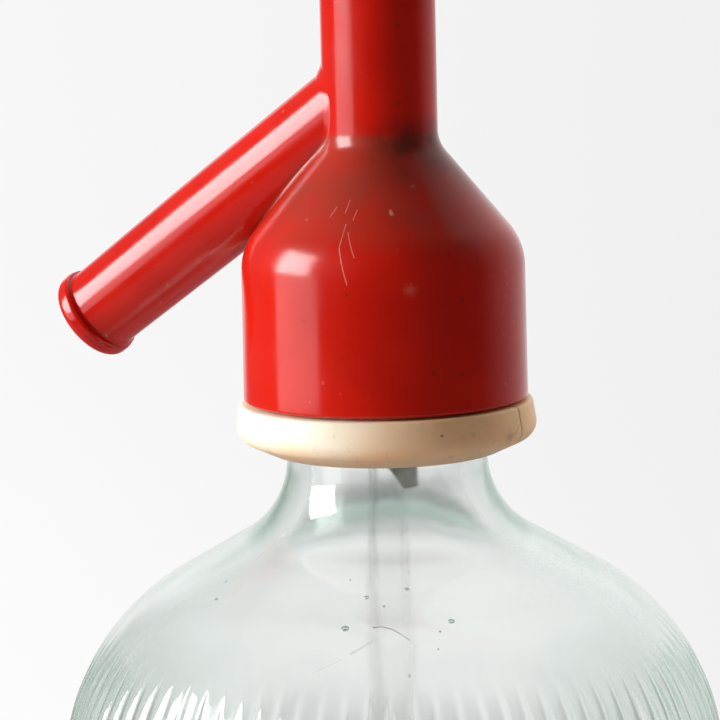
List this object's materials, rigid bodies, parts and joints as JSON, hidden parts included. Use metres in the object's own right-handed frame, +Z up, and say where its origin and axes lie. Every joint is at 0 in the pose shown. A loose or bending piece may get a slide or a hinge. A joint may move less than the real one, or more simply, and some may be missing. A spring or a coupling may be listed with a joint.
{
  "type": "soda siphon",
  "caption": "Soda siphon: thick fluted glass bottle, split collar and moulded head. Its lever lifts a spring-closed valve, and soda leaves by the spout.",
  "frame": {"origin": "centre of the ring on which the bottle stands", "axes": "+Z up along the bottle and the column, -X towards the spout, +X towards the lever"},
  "size_m": [0.1249, 0.104, 0.3148],
  "materials": {
    "green_glass": "thick pressed glass, pale green, with bubbles",
    "clear_tube": "clear tube",
    "ivory_plastic": "moulded, yellowed",
    "red_plastic": "moulded, glossy, scuffed",
    "grey_rubber": "aged",
    "black_rubber": "moulded",
    "brass": "turned",
    "spring_steel": "drawn wire and pin",
    "leather": "greased"
  },
  "bodies": {
    "siphon": {"bottle": "green_glass", "dip_tube": "clear_tube", "tube_sleeve": "grey_rubber", "collar_half_front": "ivory_plastic", "collar_half_rear": "ivory_plastic", "lip_gasket": "black_rubber", "head_body": "red_plastic", "seat_plug": "brass", "plug_ring": "black_rubber", "valve_spring": "spring_steel", "guide_bush": "brass", "lever_pin": "spring_steel", "top_cap": "red_plastic"},
    "plunger": {"valve_washer": "black_rubber", "washer_cup": "brass", "washer_screw": "brass", "valve_stem": "brass", "cup_seal": "leather", "cup_plate": "brass", "cup_nut": "brass", "stem_head": "brass", "stem_locknut": "brass"},
    "lever": {"lever": "red_plastic"}
  },
  "joints": [
    {"name": "lever_hinge", "type": "hinge", "parent": "siphon", "child": "lever", "pos_m": [0.0095, 0, 0.3], "axis": [0, 1, 0], "range_deg": [0, 16], "stiffness_Nm_per_rad": 0.135, "springref_deg": -32.09},
    {"name": "plunger_slide", "type": "slide", "parent": "siphon", "child": "plunger", "axis": [0, 0, 1], "range_m": [0, 0.0027], "deforming": ["valve_spring"]}
  ],
  "couplings": [
    {"joint": "plunger_slide", "follows": "lever_hinge", "m_per_rad": 0.0095}
  ]
}
